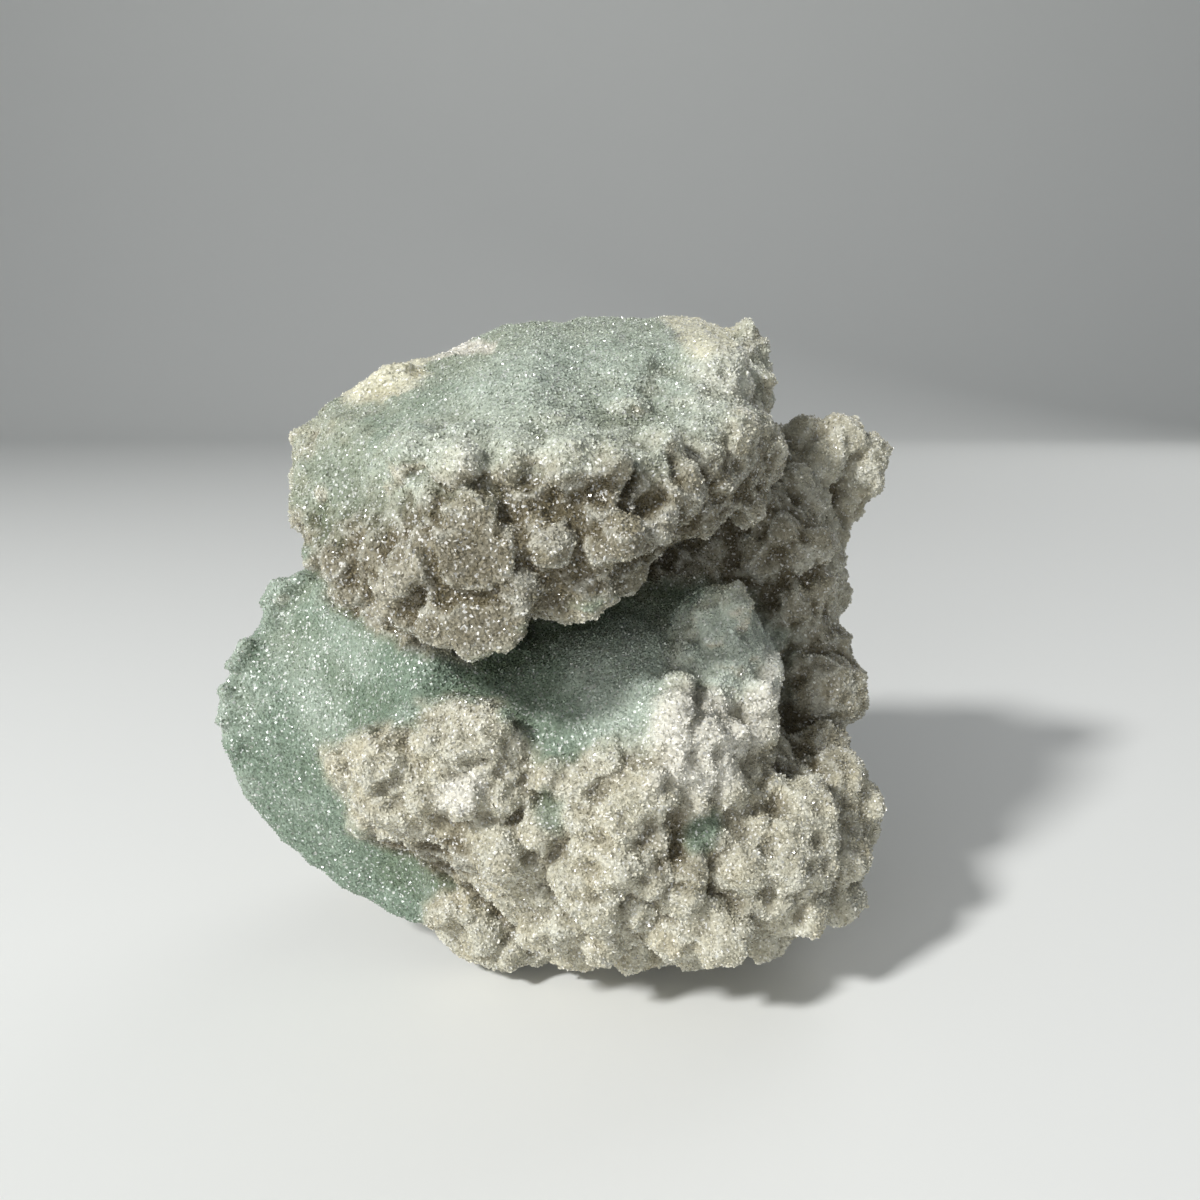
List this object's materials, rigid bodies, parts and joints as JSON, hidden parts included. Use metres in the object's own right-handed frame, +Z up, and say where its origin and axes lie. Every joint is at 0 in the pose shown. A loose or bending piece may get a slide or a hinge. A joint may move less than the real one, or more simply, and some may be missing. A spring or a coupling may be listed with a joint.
{
  "type": "heulandite specimen",
  "caption": "Loose mineral specimen: sage green and beige druse of fine crystals, with an overhanging shelf, a green hollow, a thin side dish and rounded lumps, resting on a flat foot.",
  "frame": {"origin": "on the surface it rests on, under the middle of the specimen's bounding box", "axes": "+Z up; +X along the longest extent, from the thin dish at the left to the knob at the right; the front, with the shelf's lip and the green hollow, faces -Y"},
  "size_m": [0.1048, 0.0848, 0.0937],
  "materials": {
    "heulandite_druse": "fine sugary crystal druse, translucent, sage green over the shelf, dish and hollow, grey-beige on the rounded lumps, pale yellow where the matrix is broken, with bright glints"
  },
  "bodies": {
    "root": {"heulandite_specimen": "heulandite_druse"}
  },
  "joints": []
}
